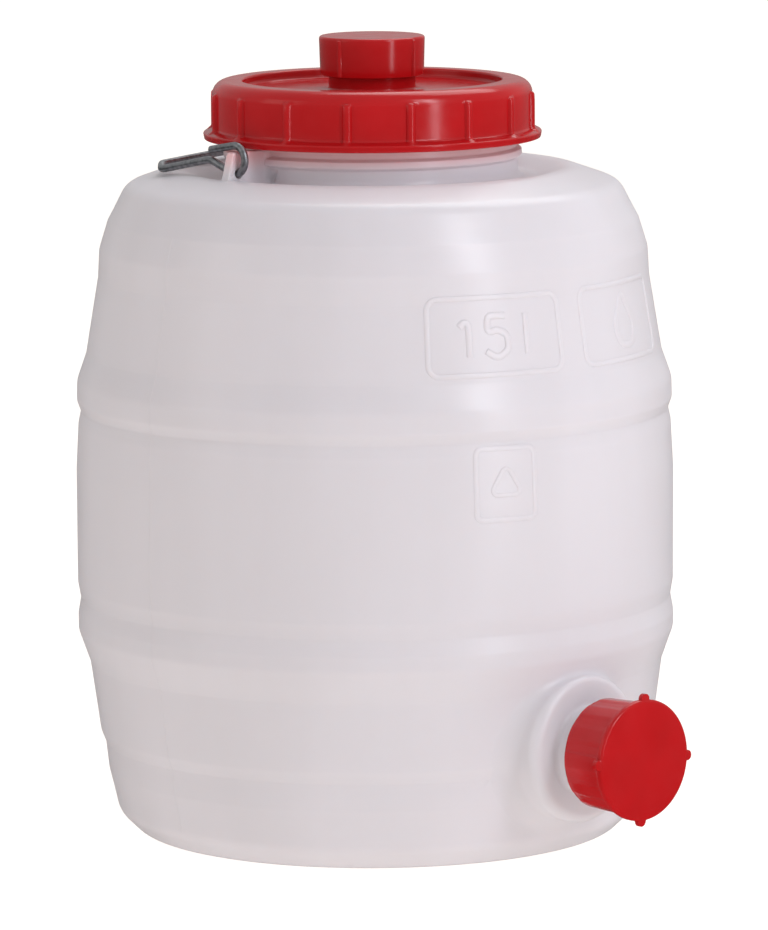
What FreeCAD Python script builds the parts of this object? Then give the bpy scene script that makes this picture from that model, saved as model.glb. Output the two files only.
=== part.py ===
import FreeCAD, Part

# Fifteen litre fermenting barrel: a blow-moulded body with a screw lid, a small cap on the lid's spigot, a
# screw cap on the low outlet, and a wire bail that swings on two moulded fins.
# Millimetres. Origin at the centre of the foot ring's plane, on the barrel's axis. +Z is up, the outlet
# points along -Y, the two bail fins stand on +X and -X, and the bail lies down towards +Y.

import math
import os

Vector = FreeCAD.Vector

# ---------------------------------------------------------------- driving dimensions
WALL = 2.2
GAP = 0.3
# how far a cutting shape runs past the face it opens
CUT_PAST = 1.0

# body, from the middle of the base out and up to the neck's rim: (radius, height, corner radius)
NECK_RADIUS = 66.5
NECK_TOP = 342.4
BODY_OUTLINE = [
    (0.0, 3.0, 0.0),
    (90.0, 3.0, 6.0),
    (95.0, 0.0, 3.0),
    (110.0, 0.0, 9.0),
    (119.8, 9.5, 12.0),
    (124.6, 29.0, 12.0),
    (126.0, 41.5, 2.5),
    (128.2, 47.0, 8.0),
    (132.6, 79.0, 5.0),
    (137.9, 94.0, 9.0),
    (137.9, 101.0, 6.0),
    (136.6, 108.5, 4.0),
    (137.9, 116.0, 9.0),
    (138.0, 168.0, 60.0),
    (136.8, 190.0, 12.0),
    (135.6, 195.5, 2.5),
    (137.4, 200.5, 5.0),
    (137.2, 209.5, 12.0),
    (132.8, 222.0, 6.0),
    (127.0, 257.0, 6.0),
    (126.3, 270.0, 10.0),
    (122.3, 283.0, 5.0),
    (113.5, 299.5, 11.0),
    (90.0, 307.8, 16.0),
    (76.0, 302.6, 8.0),
    (NECK_RADIUS, 302.6, 4.0),
    (NECK_RADIUS, 311.0, 0.8),
    (68.5, 312.2, 0.8),
    (68.5, 315.0, 0.8),
    (NECK_RADIUS, 316.2, 0.8),
    (NECK_RADIUS, NECK_TOP, 0.0),
]

# The body, neck, outlet and fins are one moulding. It is written as nodes that meet face to face at these
# heights and this radius, each a simple shape whose hollow stays open in collision.
BAND_TOPS = {
    "barrel_foot": 14.0,
    "barrel_lower_wall": 92.0,
    "barrel_middle_wall": 212.0,
    "barrel_upper_wall": 285.0,
    "barrel_shoulder": NECK_TOP,
}
BAND_REACH = 150.0
NECK_SPLIT_RADIUS = 69.0

# neck thread, shared by the lid
NECK_PITCH = 6.0
NECK_TURNS = 1.75
NECK_THREAD_START = 325.0
NECK_CREST_RADIUS = 70.4

# a thread ridge's widths, as shares of its pitch, and how far it is sunk in its wall
THREAD_ROOT_SHARE = 0.5
THREAD_CREST_SHARE = 0.24
THREAD_SINK = 0.6

# lid
LID_BOTTOM = 320.2
LID_TOP = 347.0
LID_FLANGE_RADIUS = 77.8
LID_PANEL_RADIUS = 73.5
LID_RIB_RADIUS = 75.0
LID_BORE_RADIUS = 71.3
LID_RIBS = 16
LID_RIB_WIDTH = 3.8
LID_RIB_PHASE = 16.1
LID_RIB_TOP = 342.0
LID_RIB_SINK = 1.0
LID_FLANGE_DEPTH = 3.0
LID_FLANGE_DRAFT = 0.6
LID_FLANGE_SLOPE = 1.6
LID_CORNER = 6.5
RECESS_RADIUS = 59.6
RECESS_FLOOR = 342.5
LID_CREST_RADIUS = 67.5

# spigot on the lid and its cap
SPIGOT_RADIUS = 20.0
SPIGOT_BORE_RADIUS = 16.5
SPIGOT_TOP = 362.2
SPIGOT_CREST_RADIUS = 21.6
SMALL_PITCH = 4.0
SMALL_TURNS = 1.5
SPIGOT_THREAD_START = 352.8
LID_CAP_BOTTOM = 349.0
LID_CAP_TOP = 367.0
LID_CAP_RADIUS = 24.3
LID_CAP_BORE_RADIUS = 22.2
LID_CAP_CREST_RADIUS = 20.5
LID_CAP_RIB_RADIUS = 1.1
LID_CAP_RIB_PHASE = -80.5
LID_CAP_RIB_CENTRE_RADIUS = 24.0
LID_CAP_RIB_FOOT = 0.2
LID_CAP_RIB_DROP = 1.0
LID_CAP_TAPER = 0.5

# outlet: distances out from the barrel's axis, along -Y
OUTLET_HEIGHT = 52.8
BOSS_RADIUS = 33.5
BOSS_FACE = 141.0
BOSS_ROOT = 100.0
BOSS_CORNER = 4.0
SPOUT_RADIUS = 20.4
SPOUT_BORE_RADIUS = 17.0
SPOUT_END = 172.0
SPOUT_CREST_RADIUS = 22.3
OUTLET_THREAD_START = 156.4
OUTLET_CAP_REAR = 150.8
OUTLET_CAP_FACE = 177.0
OUTLET_CAP_REAR_RADIUS = 24.9
OUTLET_CAP_RADIUS = 25.8
OUTLET_FLANGE_RADIUS = 27.4
OUTLET_FLANGE_DEPTH = 3.2
OUTLET_CAP_BORE_RADIUS = 23.0
OUTLET_CAP_CREST_RADIUS = 21.0
NUB_RADIUS = 2.4
NUB_CENTRE_RADIUS = 27.6
NUB_PHASE = -2.5
NUB_SETBACK = 0.4

CAP_TOP_THICKNESS = 2.2
LID_SEAL_RADIUS = 70.6
LID_CAP_SEAL_RADIUS = 21.4
OUTLET_CAP_SEAL_RADIUS = 22.2

# bail and the fins that it swings on
WIRE_RADIUS = 1.75
BAIL_SIDE = 83.9
BAIL_AXIS_HEIGHT = 315.7
EYE_RADIUS = 6.4
EYE_TOP_ANGLE = 80.0
EYE_BOTTOM_ANGLE = 288.8
EYE_END_Y = 17.1
FIN_THICKNESS = 4.6
FIN_TOP = 319.3
FIN_HOLE_RADIUS = 2.45
FIN_HOLE_HEIGHT = 309.7
FIN_OUTLINE = [
    (65.2, 290.0, 0.0),
    (92.4, 290.0, 0.0),
    (91.4, 303.0, 0.0),
    (87.0, FIN_TOP, 2.0),
    (65.2, FIN_TOP, 0.0),
]
# from the eye to the crossbar's middle: (y, z) on the straight leg, then (x from the middle, y, z)
KNEE = (17.2, 314.8, 10.0)
CORNER_LOW = (BAIL_SIDE, 51.3, 307.9, 9.0)
CORNER_HIGH = (76.9, 59.1, 309.4, 9.0)
APEX = (0.0, 89.5, 309.3, 52.0)


# ---------------------------------------------------------------- helpers
def corner_arc(before, corner, after, radius):
    """The two tangent points and the middle of an arc that rounds a corner."""
    back = (before - corner).normalize()
    ahead = (after - corner).normalize()
    half_angle = back.getAngle(ahead) / 2
    trim = radius / math.tan(half_angle)
    bisector = (back + ahead).normalize()
    centre = corner + bisector * (radius / math.sin(half_angle))
    return corner + back * trim, centre - bisector * radius, corner + ahead * trim


def rounded_path(corners, closed=False):
    """Straight edges through (point, corner radius) pairs, with an arc at each rounded corner."""
    count = len(corners)
    edges = []
    cursor = None
    first = None
    order = range(count) if closed else range(1, count - 1)
    if not closed:
        cursor = corners[0][0]
    for i in order:
        point, radius = corners[i]
        if radius > 0:
            start, middle, end = corner_arc(
                corners[i - 1][0], point, corners[(i + 1) % count][0], radius
            )
        else:
            start = end = point
        if cursor is None:
            first = start
        elif (start - cursor).Length > 1e-6:
            edges.append(Part.LineSegment(cursor, start).toShape())
        if radius > 0:
            edges.append(Part.Arc(start, middle, end).toShape())
        cursor = end
    last = first if closed else corners[-1][0]
    if (last - cursor).Length > 1e-6:
        edges.append(Part.LineSegment(cursor, last).toShape())
    return edges


def in_section(points):
    """(radius, height, corner radius) points as corners in the XZ plane."""
    return [(Vector(r, 0, z), corner) for r, z, corner in points]


def ring(points):
    """A solid of revolution about Z from a closed outline of (radius, height, corner radius)."""
    face = Part.Face(Part.Wire(rounded_path(in_section(points), closed=True)))
    return face.revolve(Vector(0, 0, 0), Vector(0, 0, 1), 360)


def disc(radius, low, high):
    """A plain cylinder about Z."""
    return Part.makeCylinder(radius, high - low, Vector(0, 0, low))


def around(shape, degrees):
    """A copy turned about Z."""
    return shape.rotated(Vector(0, 0, 0), Vector(0, 0, 1), degrees)


def thread(root, crest, pitch, turns, start):
    """A right-hand thread ridge from its root radius to its crest radius, sunk a little in the wall."""
    wall_side = root + (THREAD_SINK if crest < root else -THREAD_SINK)
    half_root = THREAD_ROOT_SHARE * pitch / 2
    half_crest = THREAD_CREST_SHARE * pitch / 2
    profile = Part.makePolygon(
        [
            Vector(wall_side, 0, -half_root),
            Vector(crest, 0, -half_crest),
            Vector(crest, 0, half_crest),
            Vector(wall_side, 0, half_root),
            Vector(wall_side, 0, -half_root),
        ]
    )
    helix = Part.Wire(Part.makeHelix(pitch, pitch * turns, root))
    ridge = helix.makePipeShell([profile], True, True)
    ridge.translate(Vector(0, 0, start))
    return ridge


def to_outlet(shape):
    """Carries a shape built about +Z, with heights as distances from the barrel's axis, to the outlet."""
    turned = shape.rotated(Vector(0, 0, 0), Vector(1, 0, 0), 90)
    return turned.translated(Vector(0, 0, OUTLET_HEIGHT))


def check_solid(name, shape):
    """One closed, valid solid, or a plain error."""
    solids = shape.Solids
    if len(solids) != 1 or not solids[0].isValid():
        raise ValueError("%s: %d solids" % (name, len(solids)))
    return solids[0]


# ---------------------------------------------------------------- barrel
def body_solids():
    """The body's outer solid and its cavity, a wall thickness inside it."""
    right = BODY_OUTLINE[1:]
    left = [(-radius, height, corner) for radius, height, corner in right[::-1]]
    outline = Part.Wire(rounded_path(in_section(right + left), closed=True))
    inside = outline.makeOffset2D(-WALL)
    right_side = Part.makePlane(
        NECK_TOP, 2 * NECK_TOP, Vector(0, 0, -NECK_TOP / 2), Vector(0, -1, 0), Vector(1, 0, 0)
    )
    halves = [Part.Face(wire).common(right_side).Faces[0] for wire in (outline, inside)]
    return [half.revolve(Vector(0, 0, 0), Vector(0, 0, 1), 360) for half in halves]


def fin(side, body):
    """A flat fin in the XZ plane, between the neck and the shoulder, that carries one end of the bail."""
    corners = [(Vector(side * x, -FIN_THICKNESS / 2, z), corner) for x, z, corner in FIN_OUTLINE]
    face = Part.Face(Part.Wire(rounded_path(corners, closed=True)))
    plate = face.extrude(Vector(0, FIN_THICKNESS, 0))
    hole = Part.makeCylinder(
        FIN_HOLE_RADIUS,
        2 * FIN_THICKNESS,
        Vector(side * BAIL_SIDE, -FIN_THICKNESS, FIN_HOLE_HEIGHT),
        Vector(0, 1, 0),
    )
    return plate.cut([body, hole])


def outlet(cavity):
    """The round boss on the wall, and the threaded spout that stands on it."""
    boss = ring(
        [
            (0, BOSS_ROOT, 0),
            (BOSS_RADIUS, BOSS_ROOT, 0),
            (BOSS_RADIUS, BOSS_FACE, BOSS_CORNER),
            (0, BOSS_FACE, 0),
        ]
    )
    spout = disc(SPOUT_RADIUS, BOSS_ROOT, SPOUT_END)
    boss_room = disc(BOSS_RADIUS - WALL, BOSS_ROOT, BOSS_FACE - WALL)
    bore = disc(SPOUT_BORE_RADIUS, BOSS_ROOT, SPOUT_END + CUT_PAST)
    spout_thread = thread(SPOUT_RADIUS, SPOUT_CREST_RADIUS, SMALL_PITCH, SMALL_TURNS, OUTLET_THREAD_START)
    solid = boss.fuse(spout).cut([boss_room, bore]).fuse(spout_thread)
    return to_outlet(solid).cut(cavity)


def barrel():
    """The moulding's nodes: five bands from the foot to the shoulder, the neck, the outlet and two fins."""
    outer, cavity = body_solids()
    mouth = disc(NECK_RADIUS - WALL, LID_BOTTOM, NECK_TOP + CUT_PAST)
    outlet_room = to_outlet(disc(BOSS_RADIUS, BOSS_ROOT, BOSS_FACE))
    shell = outer.cut([cavity, mouth, outlet_room])
    neck_room = disc(NECK_SPLIT_RADIUS, BAND_TOPS["barrel_upper_wall"], NECK_TOP)
    neck_thread = thread(NECK_RADIUS, NECK_CREST_RADIUS, NECK_PITCH, NECK_TURNS, NECK_THREAD_START)
    nodes = {}
    low = 0.0
    for name, high in BAND_TOPS.items():
        nodes[name] = shell.common(disc(BAND_REACH, low, high)).cut(neck_room)
        low = high
    nodes["barrel_neck"] = shell.common(neck_room).fuse(neck_thread)
    nodes["barrel_outlet"] = outlet(cavity)
    nodes["bail_fin_left"] = fin(-1, outer)
    nodes["bail_fin_right"] = fin(1, outer)
    return nodes


# ---------------------------------------------------------------- lid, caps and seals
def lid():
    plug_radius = RECESS_RADIUS + WALL
    flange_top = LID_BOTTOM + LID_FLANGE_DEPTH
    shell = ring(
        [
            (SPIGOT_BORE_RADIUS, RECESS_FLOOR - WALL, 0),
            (plug_radius, RECESS_FLOOR - WALL, 1.0),
            (plug_radius, LID_TOP - WALL, 0),
            (LID_BORE_RADIUS, LID_TOP - WALL, 0),
            (LID_BORE_RADIUS, LID_BOTTOM, 0),
            (LID_FLANGE_RADIUS - LID_FLANGE_DRAFT, LID_BOTTOM, 0.5),
            (LID_FLANGE_RADIUS, flange_top, 0.8),
            (LID_PANEL_RADIUS, flange_top + LID_FLANGE_SLOPE, 1.5),
            (LID_PANEL_RADIUS, LID_TOP, LID_CORNER),
            (RECESS_RADIUS, LID_TOP, 0.8),
            (RECESS_RADIUS, RECESS_FLOOR, 1.8),
            (SPIGOT_RADIUS, RECESS_FLOOR, 1.0),
            (SPIGOT_RADIUS, SPIGOT_TOP, 0.6),
            (SPIGOT_BORE_RADIUS, SPIGOT_TOP, 0.6),
        ]
    )
    rib_root = LID_PANEL_RADIUS - LID_RIB_SINK
    rib_ring = ring(
        [
            (rib_root, flange_top, 0),
            (LID_RIB_RADIUS, flange_top, 0),
            (LID_RIB_RADIUS, LID_RIB_TOP, 2.5),
            (rib_root, LID_RIB_TOP, 0),
        ]
    )
    bar_length = LID_RIB_RADIUS
    bar_height = LID_TOP - LID_BOTTOM
    bar = Part.makeBox(bar_length, LID_RIB_WIDTH, bar_height, Vector(rib_root, -LID_RIB_WIDTH / 2, LID_BOTTOM))
    step = 360.0 / LID_RIBS
    bars = [around(bar, LID_RIB_PHASE + step * i) for i in range(LID_RIBS)]
    ribs = rib_ring.common(Part.makeCompound(bars))
    inner_thread = thread(
        LID_BORE_RADIUS, LID_CREST_RADIUS, NECK_PITCH, NECK_TURNS, NECK_THREAD_START - NECK_PITCH / 2
    )
    spigot_thread = thread(SPIGOT_RADIUS, SPIGOT_CREST_RADIUS, SMALL_PITCH, SMALL_TURNS, SPIGOT_THREAD_START)
    return shell.fuse(ribs.Solids + [inner_thread, spigot_thread])


def lid_cap():
    shell = ring(
        [
            (0, LID_CAP_TOP - CAP_TOP_THICKNESS, 0),
            (LID_CAP_BORE_RADIUS, LID_CAP_TOP - CAP_TOP_THICKNESS, 0),
            (LID_CAP_BORE_RADIUS, LID_CAP_BOTTOM, 0),
            (LID_CAP_RADIUS - LID_CAP_TAPER, LID_CAP_BOTTOM, 0.5),
            (LID_CAP_RADIUS, LID_CAP_TOP, 1.0),
            (0, LID_CAP_TOP, 0),
        ]
    )
    rib = disc(LID_CAP_RIB_RADIUS, LID_CAP_BOTTOM + LID_CAP_RIB_FOOT, LID_CAP_TOP - LID_CAP_RIB_DROP)
    rib.translate(Vector(LID_CAP_RIB_CENTRE_RADIUS, 0, 0))
    ribs = [around(rib, LID_CAP_RIB_PHASE + 90 * i) for i in range(4)]
    inner_thread = thread(
        LID_CAP_BORE_RADIUS,
        LID_CAP_CREST_RADIUS,
        SMALL_PITCH,
        SMALL_TURNS,
        SPIGOT_THREAD_START - SMALL_PITCH / 2,
    )
    return shell.fuse(ribs + [inner_thread])


def outlet_cap():
    flange_rear = OUTLET_CAP_FACE - OUTLET_FLANGE_DEPTH
    inner_face = OUTLET_CAP_FACE - CAP_TOP_THICKNESS
    shell = ring(
        [
            (0, inner_face, 0),
            (OUTLET_CAP_BORE_RADIUS, inner_face, 0),
            (OUTLET_CAP_BORE_RADIUS, OUTLET_CAP_REAR, 0),
            (OUTLET_CAP_REAR_RADIUS, OUTLET_CAP_REAR, 0.6),
            (OUTLET_CAP_RADIUS, flange_rear, 0.4),
            (OUTLET_FLANGE_RADIUS, flange_rear, 0.6),
            (OUTLET_FLANGE_RADIUS, OUTLET_CAP_FACE, 1.2),
            (0, OUTLET_CAP_FACE, 0),
        ]
    )
    nub = disc(NUB_RADIUS, flange_rear + NUB_SETBACK, OUTLET_CAP_FACE - NUB_SETBACK)
    nub.translate(Vector(NUB_CENTRE_RADIUS, 0, 0))
    nubs = [around(nub, NUB_PHASE + 90 * i) for i in range(4)]
    inner_thread = thread(
        OUTLET_CAP_BORE_RADIUS,
        OUTLET_CAP_CREST_RADIUS,
        SMALL_PITCH,
        SMALL_TURNS,
        OUTLET_THREAD_START - SMALL_PITCH / 2,
    )
    return to_outlet(shell.fuse(nubs + [inner_thread]))


def lid_seal():
    low = NECK_TOP + GAP
    high = LID_TOP - WALL - GAP
    return disc(LID_SEAL_RADIUS, low, high).cut(disc(RECESS_RADIUS + WALL + GAP, low, high))


def lid_cap_seal():
    high = LID_CAP_TOP - CAP_TOP_THICKNESS - GAP
    return disc(LID_CAP_SEAL_RADIUS, SPIGOT_TOP + GAP, high)


def outlet_cap_seal():
    high = OUTLET_CAP_FACE - CAP_TOP_THICKNESS - GAP
    return to_outlet(disc(OUTLET_CAP_SEAL_RADIUS, SPOUT_END + GAP, high))


# ---------------------------------------------------------------- bail
def on_eye(side, degrees):
    """A point on the eye's circle, its angle measured from +Y towards +Z."""
    angle = math.radians(degrees)
    return Vector(
        side * BAIL_SIDE, EYE_RADIUS * math.cos(angle), BAIL_AXIS_HEIGHT + EYE_RADIUS * math.sin(angle)
    )


def bail():
    """Round wire: an open eye at each end, two legs that rise to a knee, and a shallow gabled crossbar."""
    top_angle = math.radians(EYE_TOP_ANGLE)
    halves = []
    for side in (-1, 1):
        top = on_eye(side, EYE_TOP_ANGLE)
        run = (EYE_END_Y - top.y) / math.sin(top_angle)
        end = top + Vector(0, math.sin(top_angle), -math.cos(top_angle)) * run
        bottom = on_eye(side, EYE_BOTTOM_ANGLE)
        eye = [
            Part.LineSegment(end, top).toShape(),
            Part.Arc(top, on_eye(side, 180), bottom).toShape(),
        ]
        knee_y, knee_z, knee_radius = KNEE
        corners = [(bottom, 0), (Vector(side * BAIL_SIDE, knee_y, knee_z), knee_radius)]
        corners += [(Vector(side * x, y, z), radius) for x, y, z, radius in (CORNER_LOW, CORNER_HIGH)]
        halves.append((eye, corners))
    (eye_a, leg_a), (eye_b, leg_b) = halves
    x, y, z, radius = APEX
    corners = leg_a + [(Vector(x, y, z), radius)] + leg_b[::-1]
    path = Part.Wire(Part.__sortEdges__(eye_a + rounded_path(corners) + eye_b))
    first = path.Edges[0]
    start = first.valueAt(first.FirstParameter)
    heading = first.tangentAt(first.FirstParameter)
    section = Part.Wire(Part.makeCircle(WIRE_RADIUS, start, heading))
    return path.makePipeShell([section], True, False)


# ---------------------------------------------------------------- write the sub-parts
nodes = barrel()
nodes["lid"] = lid()
nodes["lid_seal"] = lid_seal()
nodes["lid_cap"] = lid_cap()
nodes["lid_cap_seal"] = lid_cap_seal()
nodes["outlet_cap"] = outlet_cap()
nodes["outlet_cap_seal"] = outlet_cap_seal()
nodes["bail"] = bail()

os.makedirs("parts", exist_ok=True)
for name, shape in nodes.items():
    solid = check_solid(name, shape)
    solid.exportStep("parts/%s.step" % name)
    print("%-20s %9.1f cm3 " % (name, solid.Volume / 1000), solid.BoundBox)
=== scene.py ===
import math

import bpy
import numpy as np
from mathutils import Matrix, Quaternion, Vector


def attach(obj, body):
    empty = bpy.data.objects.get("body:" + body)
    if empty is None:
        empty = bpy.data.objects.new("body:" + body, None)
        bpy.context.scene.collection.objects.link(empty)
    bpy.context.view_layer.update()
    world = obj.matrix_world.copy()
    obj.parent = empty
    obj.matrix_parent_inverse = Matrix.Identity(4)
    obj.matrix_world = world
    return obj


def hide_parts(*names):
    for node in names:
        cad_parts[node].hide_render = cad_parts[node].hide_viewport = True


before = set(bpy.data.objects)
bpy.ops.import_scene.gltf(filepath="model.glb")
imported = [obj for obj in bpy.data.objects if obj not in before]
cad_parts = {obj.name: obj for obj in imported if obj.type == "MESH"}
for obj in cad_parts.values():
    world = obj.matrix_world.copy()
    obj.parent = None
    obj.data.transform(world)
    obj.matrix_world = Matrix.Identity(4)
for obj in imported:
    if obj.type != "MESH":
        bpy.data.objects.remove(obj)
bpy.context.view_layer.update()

MM = 0.001
TAU = 2 * math.pi

# ---------------------------------------------------------------- driving dimensions
WALL = 2.2
GAP = 0.3

# body, from the middle of the base out and up to the neck's rim: (radius, height, corner radius)
NECK_RADIUS = 66.5
NECK_TOP = 342.4
BODY_OUTLINE = [
    (0.0, 3.0, 0.0),
    (90.0, 3.0, 6.0),
    (95.0, 0.0, 3.0),
    (110.0, 0.0, 9.0),
    (119.8, 9.5, 12.0),
    (124.6, 29.0, 12.0),
    (126.0, 41.5, 2.5),
    (128.2, 47.0, 8.0),
    (132.6, 79.0, 5.0),
    (137.9, 94.0, 9.0),
    (137.9, 101.0, 6.0),
    (136.6, 108.5, 4.0),
    (137.9, 116.0, 9.0),
    (138.0, 168.0, 60.0),
    (136.8, 190.0, 12.0),
    (135.6, 195.5, 2.5),
    (137.4, 200.5, 5.0),
    (137.2, 209.5, 12.0),
    (132.8, 222.0, 6.0),
    (127.0, 257.0, 6.0),
    (126.3, 270.0, 10.0),
    (122.3, 283.0, 5.0),
    (113.5, 299.5, 11.0),
    (90.0, 307.8, 16.0),
    (76.0, 302.6, 8.0),
    (NECK_RADIUS, 302.6, 4.0),
    (NECK_RADIUS, 311.0, 0.8),
    (68.5, 312.2, 0.8),
    (68.5, 315.0, 0.8),
    (NECK_RADIUS, 316.2, 0.8),
    (NECK_RADIUS, NECK_TOP, 0.6),
    (NECK_RADIUS - WALL, NECK_TOP, 0.6),
    (NECK_RADIUS - WALL, NECK_TOP - 3.0, 0.0),
]
SHOULDER_RADIUS = 90.0
# the body's side begins where its outline passes this radius under the foot ring
FOOT_RADIUS = 100.0
# the shoulder's top and its dip round the neck lie between these heights
SHOULDER_LOW = 290.0
SHOULDER_HIGH = 311.0
# the neck is plain below this height and threaded above it
THREADED_NECK_LOW = 317.0
# the slow unevenness of the wall, the inward shift that keeps it within the outline, and where it fades
WAVE_DEPTH = 0.12
WAVE_SHIFT = 1.9
WAVE_LOW = 8
WAVE_HIGH = 300
WAVE_FADE = 14

# a thread ridge's half-widths at root and crest, as shares of its pitch, and the turns over which it fades in
THREAD_HALF_ROOT = 0.25
THREAD_HALF_CREST = 0.12
THREAD_FADE = 0.05
# threads: (root radius, crest radius, pitch, turns, start height)
NECK_THREAD = (NECK_RADIUS, 70.4, 6.0, 1.75, 325.0)
LID_THREAD = (71.3, 67.5, 6.0, 1.75, 322.0)
SPIGOT_THREAD = (20.0, 21.6, 4.0, 1.5, 352.8)
LID_CAP_THREAD = (22.2, 20.5, 4.0, 1.5, 350.8)
OUTLET_THREAD = (20.4, 22.3, 4.0, 1.5, 156.4)
OUTLET_CAP_THREAD = (23.0, 21.0, 4.0, 1.5, 154.4)

# lid and its spigot
LID_BOTTOM = 320.2
LID_TOP = 347.0
LID_FLANGE_RADIUS = 77.8
LID_PANEL_RADIUS = 73.5
LID_BORE_RADIUS = LID_THREAD[0]
LID_RIBS = 16
LID_RIB_HEIGHT = 1.7
LID_RIB_HALF_WIDTH = 1.9
LID_RIB_PHASE = 16.1
LID_RIB_TOP = 342.0
LID_RIB_CORNER = 2.5
LID_FLANGE_DEPTH = 3.0
LID_FLANGE_DRAFT = 0.6
LID_FLANGE_SLOPE = 1.6
RECESS_RADIUS = 59.6
RECESS_FLOOR = 342.5
SPIGOT_RADIUS = SPIGOT_THREAD[0]
SPIGOT_BORE_RADIUS = 16.5
SPIGOT_TOP = 362.2

# small cap
LID_CAP_BOTTOM = 349.0
LID_CAP_TOP = 367.0
LID_CAP_RADIUS = 24.3
LID_CAP_RIB_RADIUS = 1.1
LID_CAP_RIB_PHASE = -80.5
LID_CAP_TAPER = 0.5
LID_CAP_RIB_DROP = 1.0
CAP_TOP_THICKNESS = 2.2

# outlet: distances out from the barrel's axis, along -Y
OUTLET_HEIGHT = 52.8
BOSS_RADIUS = 33.5
BOSS_FACE = 141.0
BOSS_ROOT = 100.0
BOSS_FILLET = 9.0
BOSS_CORNER = 5.0
# the largest shares of the boss's height that its fillet and its corner may take up
BOSS_FILLET_SHARE = 0.55
BOSS_CORNER_SHARE = 0.4
SPOUT_RADIUS = OUTLET_THREAD[0]
SPOUT_BORE_RADIUS = 17.0
SPOUT_END = 172.0
# the spout's surface starts on the boss's face at the first radius and ends over its bore at the second
SPOUT_START_RADIUS = 27.0
SPOUT_CLOSE_RADIUS = 10.0
OUTLET_CAP_REAR = 150.8
OUTLET_CAP_FACE = 177.0
OUTLET_CAP_REAR_RADIUS = 24.9
OUTLET_CAP_RADIUS = 25.8
OUTLET_FLANGE_RADIUS = 27.4
OUTLET_FLANGE_DEPTH = 3.2
NUB_RADIUS = 2.4
NUB_CENTRE_RADIUS = 27.6
NUB_PHASE = -2.5
NUB_SETBACK = 0.4
OUTLET_CAP_FLUTES = 12
FLUTE_DEPTH = 0.45

LID_SEAL_RADIUS = 70.6
LID_CAP_SEAL_RADIUS = 21.4
OUTLET_CAP_SEAL_RADIUS = 22.2
SEAL_DIP = 0.15
SEAL_BEAD_WIDTH = 0.9

# bail and the fins that it swings on
WIRE_RADIUS = 1.75
WIRE_CHAMFER = 0.45
BAIL_SIDE = 83.9
BAIL_AXIS_HEIGHT = 315.7
EYE_RADIUS = 6.4
EYE_TOP_ANGLE = 80.0
EYE_BOTTOM_ANGLE = 288.8
EYE_END_Y = 17.1
KNEE = (17.2, 314.8, 10.0)
CORNER_LOW = (BAIL_SIDE, 51.3, 307.9, 9.0)
CORNER_HIGH = (76.9, 59.1, 309.4, 9.0)
APEX = (0.0, 89.5, 309.3, 52.0)
FIN_THICKNESS = 4.6
FIN_TOP = 319.3
FIN_FILLET = 3.0
FIN_EDGE = 0.9
FIN_HOLE_RADIUS = 2.45
FIN_HOLE_HEIGHT = 309.7
FIN_ROOT = 65.2
FIN_MIDDLE = 76.0
FIN_END = 92.0
FIN_RIDGE = [
    (FIN_ROOT, FIN_TOP, 0.0),
    (87.0, FIN_TOP, 2.0),
    (91.4, 303.0, 0.0),
    (FIN_END, 300.0, 0.0),
]

# raised marks on the body: panel centres as (angle in degrees, height), sizes as (width, height, corner)
PANEL_HEIGHT = 242.5
LITRES_PANEL_ANGLE = -107.3
DROP_PANEL_ANGLE = -71.5
SMALL_PANEL_HEIGHT = 177.0
PANEL_SIZE = (66.0, 34.0, 5.0)
SMALL_PANEL_SIZE = (29.0, 32.0, 3.0)
# raised lines as (half-width, rise)
FRAME_LINE = (1.25, 0.42)
SMALL_FRAME_LINE = (1.25, 0.3)
STROKE_LINE = (1.6, 0.5)
LETTER_LINE = (1.4, 0.5)
TRIANGLE_LINE = (1.0, 0.3)
SEAM_LINE = (0.5, 0.12)
SEAM_LOW = 12.0
SEAM_HIGH = 284.0
BEAD_BURIED = 0.7


# ---------------------------------------------------------------- lines
def unit(vector):
    return vector / np.linalg.norm(vector)


def rounded_line(corners, closed=False, turn_step=math.radians(7)):
    """Points along straight runs joined by arcs. Each corner is its coordinates, then its radius."""
    points = []
    count = len(corners)
    for i, corner in enumerate(corners):
        here = np.array(corner[:-1], float)
        radius = corner[-1]
        if radius == 0 or (not closed and i in (0, count - 1)):
            points.append(here)
            continue
        back = unit(np.array(corners[i - 1][:-1], float) - here)
        ahead = unit(np.array(corners[(i + 1) % count][:-1], float) - here)
        half_angle = math.acos(float(back @ ahead)) / 2
        centre = here + unit(back + ahead) * radius / math.sin(half_angle)
        spoke = unit(here + back * radius / math.tan(half_angle) - centre)
        turn = math.pi - 2 * half_angle
        steps = max(2, math.ceil(turn / (turn_step if radius > 3 else 2.2 * turn_step)))
        for k in range(steps + 1):
            angle = turn * k / steps
            points.append(centre + radius * (spoke * math.cos(angle) - back * math.sin(angle)))
    return np.array(points)


def divided(points, step, closed=False):
    """The same line with its long runs divided. step is a length, or a function of a point that gives one."""
    ends = np.roll(points, -1, 0) if closed else points[1:]
    out = []
    for start, end in zip(points, ends):
        limit = step((start + end) / 2) if callable(step) else step
        pieces = max(1, math.ceil(float(np.linalg.norm(end - start)) / limit))
        out += [start + (end - start) * k / pieces for k in range(pieces)]
    if not closed:
        out.append(points[-1])
    return np.array(out)


def offset_inside(points, distance):
    """A line a distance to the left of an open line, without the stretches that fold back on themselves."""
    along = np.gradient(points, axis=0)
    left = np.stack((-along[:, 1], along[:, 0]), -1)
    left /= np.linalg.norm(left, axis=1)[:, None]
    moved = points + left * distance
    nearest = np.linalg.norm(moved[:, None] - points[None], axis=2).min(1)
    return moved[nearest > distance * 0.985]


def quarter_turn(steps):
    """Angles from 0 to a right angle."""
    return [math.pi / 2 * k / steps for k in range(steps + 1)]


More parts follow.
